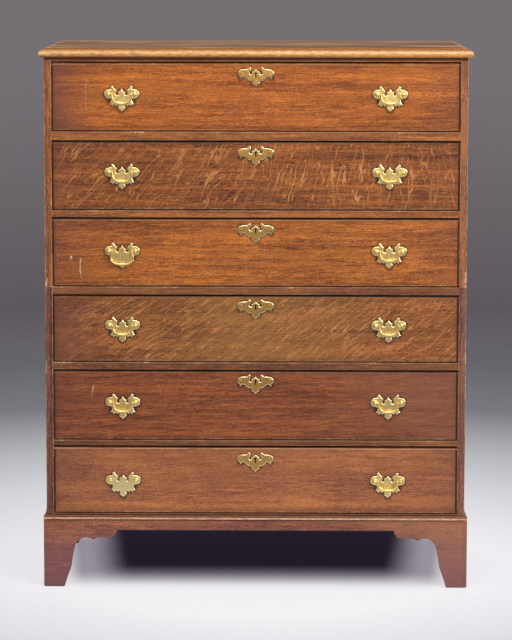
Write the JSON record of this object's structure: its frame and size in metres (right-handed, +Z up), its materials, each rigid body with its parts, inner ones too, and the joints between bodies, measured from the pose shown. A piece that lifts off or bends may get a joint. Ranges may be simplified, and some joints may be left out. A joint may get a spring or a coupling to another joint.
{
  "type": "chest of drawers",
  "caption": "Chest-on-chest with stacked upper and lower cases of long drawers, moulded top, bracket base, and bat-wing plates with swinging bails.",
  "frame": {"origin": "centre of the floor under the whole chest, hardware included in the depth", "axes": "+Z up, the drawer fronts face -Y, +X to the viewer's right"},
  "size_m": [1.044, 0.5267, 1.318],
  "materials": {
    "oak_top": "old waxed oak",
    "oak_case": "old waxed oak",
    "oak_base": "old waxed oak",
    "oak_inside": "unfinished oak",
    "oak_drawer_1": "old waxed oak",
    "oak_drawer_2": "old waxed oak",
    "oak_drawer_3": "old waxed oak",
    "oak_drawer_4": "old waxed oak",
    "oak_drawer_5": "old waxed oak",
    "oak_drawer_6": "old waxed oak",
    "brass": "cast, worn and lightly polished",
    "iron": "forged and oiled"
  },
  "bodies": {
    "lower_case": {"lower_left_side": "oak_case", "lower_right_side": "oak_case", "lower_top_board": "oak_inside", "lower_bottom_board": "oak_case", "lower_rails": "oak_case", "lower_backboards": "oak_inside", "lower_runners": "oak_inside", "base_front_board": "oak_base", "base_left_board": "oak_base", "base_right_board": "oak_base", "base_moulding": "oak_base", "foot_blocks": "oak_inside"},
    "upper_case": {"top_board": "oak_top", "upper_left_side": "oak_case", "upper_right_side": "oak_case", "upper_bottom_board": "oak_inside", "upper_rails": "oak_case", "upper_backboards": "oak_inside", "upper_runners": "oak_inside"},
    "drawer_1": {"drawer_1_front": "oak_drawer_1", "drawer_1_box": "oak_inside", "drawer_1_brasses": "brass", "drawer_1_lock": "iron"},
    "drawer_1_bolt": {"drawer_1_bolt": "iron"},
    "drawer_1_left_bail": {"drawer_1_left_bail": "brass"},
    "drawer_1_right_bail": {"drawer_1_right_bail": "brass"},
    "drawer_2": {"drawer_2_front": "oak_drawer_2", "drawer_2_box": "oak_inside", "drawer_2_brasses": "brass", "drawer_2_lock": "iron"},
    "drawer_2_bolt": {"drawer_2_bolt": "iron"},
    "drawer_2_left_bail": {"drawer_2_left_bail": "brass"},
    "drawer_2_right_bail": {"drawer_2_right_bail": "brass"},
    "drawer_3": {"drawer_3_front": "oak_drawer_3", "drawer_3_box": "oak_inside", "drawer_3_brasses": "brass", "drawer_3_lock": "iron"},
    "drawer_3_bolt": {"drawer_3_bolt": "iron"},
    "drawer_3_left_bail": {"drawer_3_left_bail": "brass"},
    "drawer_3_right_bail": {"drawer_3_right_bail": "brass"},
    "drawer_4": {"drawer_4_front": "oak_drawer_4", "drawer_4_box": "oak_inside", "drawer_4_brasses": "brass", "drawer_4_lock": "iron"},
    "drawer_4_bolt": {"drawer_4_bolt": "iron"},
    "drawer_4_left_bail": {"drawer_4_left_bail": "brass"},
    "drawer_4_right_bail": {"drawer_4_right_bail": "brass"},
    "drawer_5": {"drawer_5_front": "oak_drawer_5", "drawer_5_box": "oak_inside", "drawer_5_brasses": "brass", "drawer_5_lock": "iron"},
    "drawer_5_bolt": {"drawer_5_bolt": "iron"},
    "drawer_5_left_bail": {"drawer_5_left_bail": "brass"},
    "drawer_5_right_bail": {"drawer_5_right_bail": "brass"},
    "drawer_6": {"drawer_6_front": "oak_drawer_6", "drawer_6_box": "oak_inside", "drawer_6_brasses": "brass", "drawer_6_lock": "iron"},
    "drawer_6_bolt": {"drawer_6_bolt": "iron"},
    "drawer_6_right_bail": {"drawer_6_right_bail": "brass"}
  },
  "joints": [
    {"name": "upper_case_lift", "type": "slide", "parent": "lower_case", "child": "upper_case", "axis": [0, 0, 1], "range_m": [0, 0.06]},
    {"name": "drawer_1_slide", "type": "slide", "parent": "upper_case", "child": "drawer_1", "axis": [0, -1, 0], "range_m": [0, 0.36]},
    {"name": "drawer_1_bolt_slide", "type": "slide", "parent": "drawer_1", "child": "drawer_1_bolt", "axis": [0, 0, 1], "range_m": [0, 0.008]},
    {"name": "drawer_1_left_bail_swing", "type": "hinge", "parent": "drawer_1", "child": "drawer_1_left_bail", "pos_m": [-0.323, -0.25915, 1.208], "axis": [-1, 0, 0], "range_deg": [-18, 110]},
    {"name": "drawer_1_right_bail_swing", "type": "hinge", "parent": "drawer_1", "child": "drawer_1_right_bail", "pos_m": [0.323, -0.25915, 1.208], "axis": [-1, 0, 0], "range_deg": [-18, 110]},
    {"name": "drawer_2_slide", "type": "slide", "parent": "upper_case", "child": "drawer_2", "axis": [0, -1, 0], "range_m": [0, 0.36]},
    {"name": "drawer_2_bolt_slide", "type": "slide", "parent": "drawer_2", "child": "drawer_2_bolt", "axis": [0, 0, 1], "range_m": [0, 0.008]},
    {"name": "drawer_2_left_bail_swing", "type": "hinge", "parent": "drawer_2", "child": "drawer_2_left_bail", "pos_m": [-0.323, -0.25915, 1.0198], "axis": [-1, 0, 0], "range_deg": [-18, 110]},
    {"name": "drawer_2_right_bail_swing", "type": "hinge", "parent": "drawer_2", "child": "drawer_2_right_bail", "pos_m": [0.323, -0.25915, 1.0198], "axis": [-1, 0, 0], "range_deg": [-18, 110]},
    {"name": "drawer_3_slide", "type": "slide", "parent": "upper_case", "child": "drawer_3", "axis": [0, -1, 0], "range_m": [0, 0.36]},
    {"name": "drawer_3_bolt_slide", "type": "slide", "parent": "drawer_3", "child": "drawer_3_bolt", "axis": [0, 0, 1], "range_m": [0, 0.008]},
    {"name": "drawer_3_left_bail_swing", "type": "hinge", "parent": "drawer_3", "child": "drawer_3_left_bail", "pos_m": [-0.323, -0.25915, 0.8285], "axis": [-1, 0, 0], "range_deg": [-13, 110]},
    {"name": "drawer_3_right_bail_swing", "type": "hinge", "parent": "drawer_3", "child": "drawer_3_right_bail", "pos_m": [0.323, -0.25915, 0.8285], "axis": [-1, 0, 0], "range_deg": [-18, 110]},
    {"name": "drawer_4_slide", "type": "slide", "parent": "lower_case", "child": "drawer_4", "axis": [0, -1, 0], "range_m": [0, 0.36]},
    {"name": "drawer_4_bolt_slide", "type": "slide", "parent": "drawer_4", "child": "drawer_4_bolt", "axis": [0, 0, 1], "range_m": [0, 0.008]},
    {"name": "drawer_4_left_bail_swing", "type": "hinge", "parent": "drawer_4", "child": "drawer_4_left_bail", "pos_m": [-0.323, -0.25915, 0.6475], "axis": [-1, 0, 0], "range_deg": [-18, 110]},
    {"name": "drawer_4_right_bail_swing", "type": "hinge", "parent": "drawer_4", "child": "drawer_4_right_bail", "pos_m": [0.323, -0.25915, 0.6475], "axis": [-1, 0, 0], "range_deg": [-18, 110]},
    {"name": "drawer_5_slide", "type": "slide", "parent": "lower_case", "child": "drawer_5", "axis": [0, -1, 0], "range_m": [0, 0.36]},
    {"name": "drawer_5_bolt_slide", "type": "slide", "parent": "drawer_5", "child": "drawer_5_bolt", "axis": [0, 0, 1], "range_m": [0, 0.008]},
    {"name": "drawer_5_left_bail_swing", "type": "hinge", "parent": "drawer_5", "child": "drawer_5_left_bail", "pos_m": [-0.323, -0.25915, 0.4583], "axis": [-1, 0, 0], "range_deg": [-18, 110]},
    {"name": "drawer_5_right_bail_swing", "type": "hinge", "parent": "drawer_5", "child": "drawer_5_right_bail", "pos_m": [0.323, -0.25915, 0.4583], "axis": [-1, 0, 0], "range_deg": [-18, 110]},
    {"name": "drawer_6_slide", "type": "slide", "parent": "lower_case", "child": "drawer_6", "axis": [0, -1, 0], "range_m": [0, 0.36]},
    {"name": "drawer_6_bolt_slide", "type": "slide", "parent": "drawer_6", "child": "drawer_6_bolt", "axis": [0, 0, 1], "range_m": [0, 0.008]},
    {"name": "drawer_6_right_bail_swing", "type": "hinge", "parent": "drawer_6", "child": "drawer_6_right_bail", "pos_m": [0.323, -0.25915, 0.265], "axis": [-1, 0, 0], "range_deg": [-18, 110]}
  ]
}
